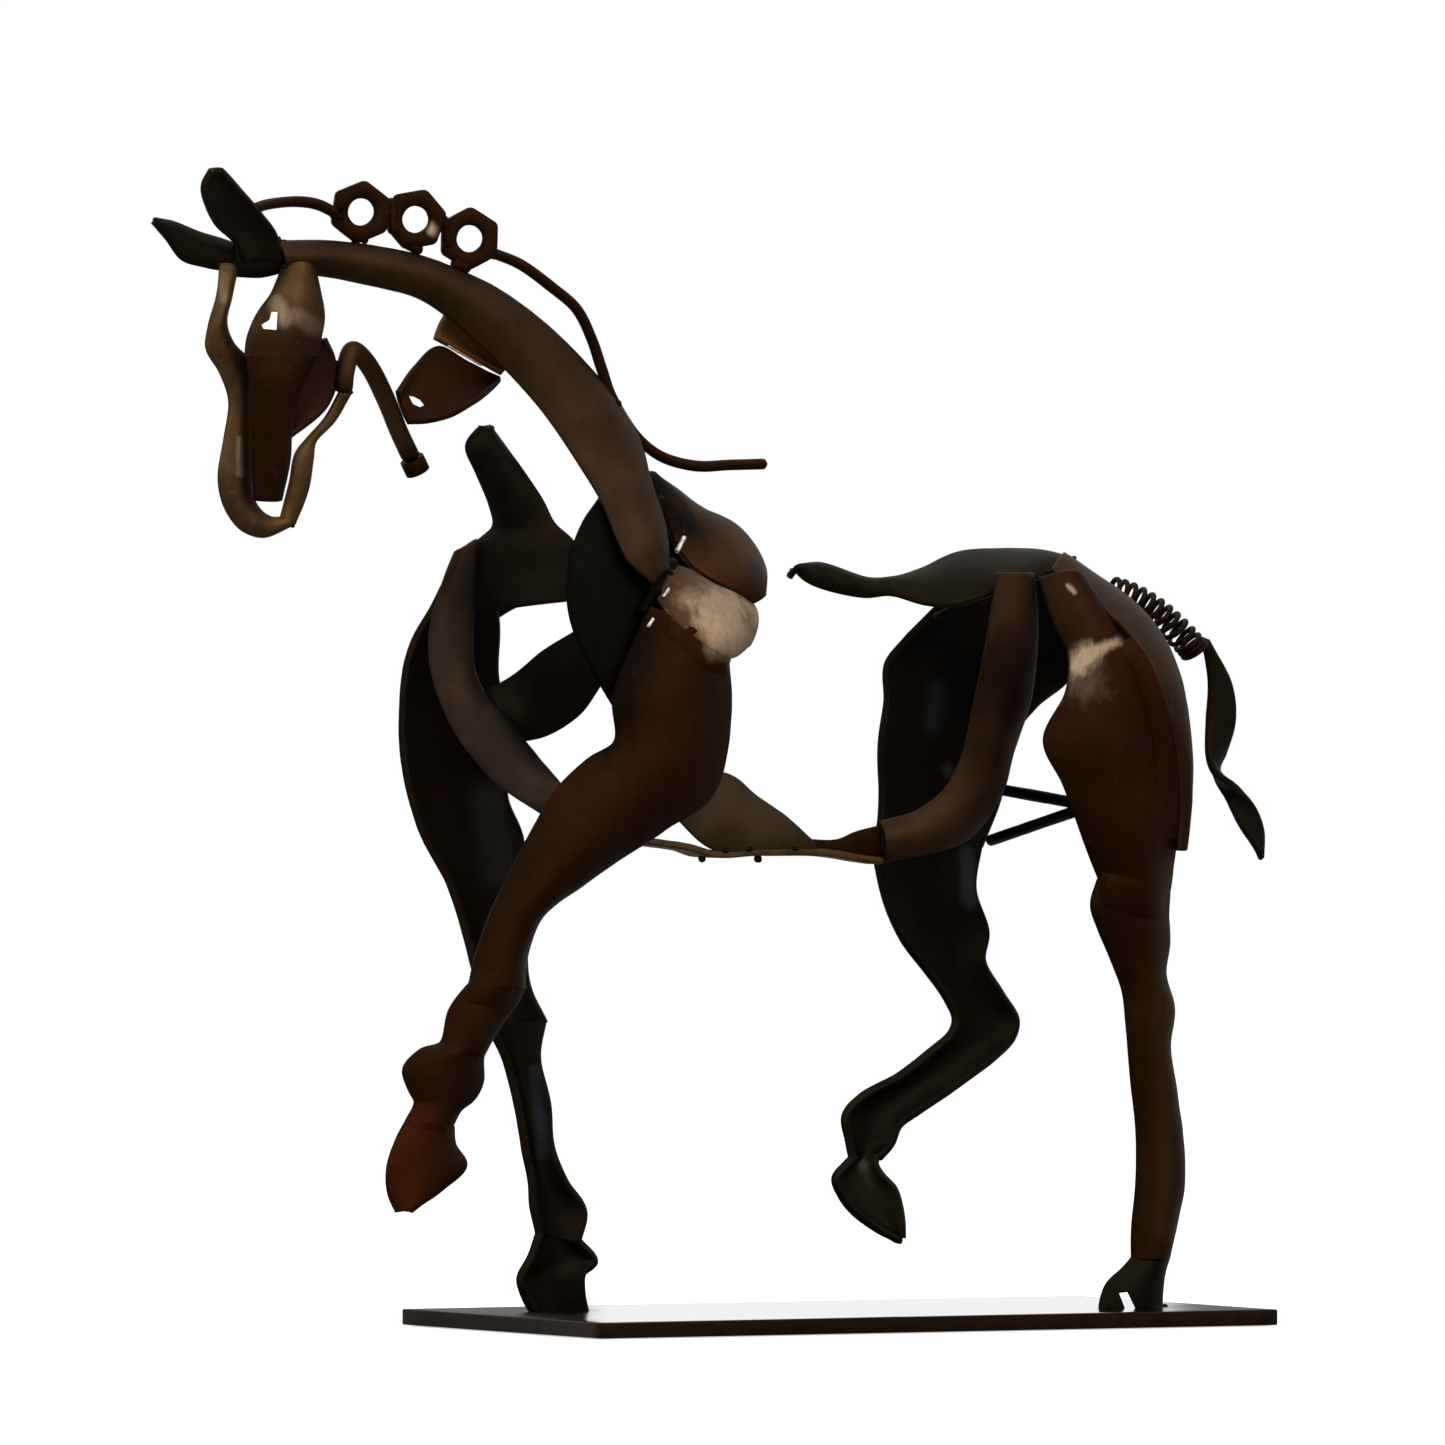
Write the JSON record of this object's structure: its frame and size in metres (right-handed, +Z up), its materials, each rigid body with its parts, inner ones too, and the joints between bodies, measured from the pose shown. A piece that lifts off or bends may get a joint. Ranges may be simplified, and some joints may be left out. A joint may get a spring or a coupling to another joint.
{
  "type": "openwork horse sculpture",
  "caption": "Openwork horse at a trot, welded from formed steel plate and rod with nuts for a mane and a coil spring at the tail, on a flat rectangular base.",
  "frame": {"origin": "middle of the base plate's underside, which is where the piece rests", "axes": "+Z up; the horse's head points along -X and its tail along +X; its left side faces -Y"},
  "size_m": [0.2344, 0.08, 0.2196],
  "materials": {
    "base_steel": "dark brown patina",
    "dark_patina": "black patina",
    "brown_patina": "red-brown patina",
    "olive_patina": "olive-brown patina",
    "tan_steel": "tan patina, partly brushed",
    "bright_steel": "bright brushed with a warm tint"
  },
  "bodies": {
    "root": {"base_plate": "base_steel", "mane_nut_1": "brown_patina", "mane_nut_2": "brown_patina", "mane_nut_3": "brown_patina", "mane_rod_front": "brown_patina", "mane_rod_rear": "brown_patina", "neck_band": "olive_patina", "poll_plate": "dark_patina", "ear_near": "dark_patina", "ear_far": "dark_patina", "face_plate": "tan_steel", "muzzle_plate": "brown_patina", "nose_strap": "tan_steel", "jaw_bar": "tan_steel", "jowl_plate": "dark_patina", "throat_rod": "brown_patina", "throat_rod_head": "brown_patina", "throat_flange": "olive_patina", "throat_leaf": "brown_patina", "near_forearm": "brown_patina", "near_fore_cannon": "brown_patina", "near_fore_hoof": "brown_patina", "far_forearm": "dark_patina", "far_fore_cannon": "dark_patina", "far_fore_hoof": "dark_patina", "near_shoulder_plate": "dark_patina", "withers_plate": "olive_patina", "withers_lower_plate": "bright_steel", "withers_far_plate": "dark_patina", "far_shoulder_band": "dark_patina", "chest_plate": "dark_patina", "front_band": "tan_steel", "diagonal_brace": "dark_patina", "belly_plate": "olive_patina", "flank_link": "brown_patina", "flank_band": "olive_patina", "belly_strip": "tan_steel", "near_thigh": "brown_patina", "near_hind_leg": "brown_patina", "near_hind_hoof": "dark_patina", "far_thigh": "dark_patina", "far_hind_leg": "dark_patina", "far_hind_hoof": "dark_patina", "thigh_brace_upper": "dark_patina", "thigh_brace_lower": "dark_patina", "croup_leaf": "olive_patina", "tail_spring": "brown_patina", "rump_band": "olive_patina", "croup_far_plate": "dark_patina", "tail_ribbon": "dark_patina"}
  },
  "joints": []
}
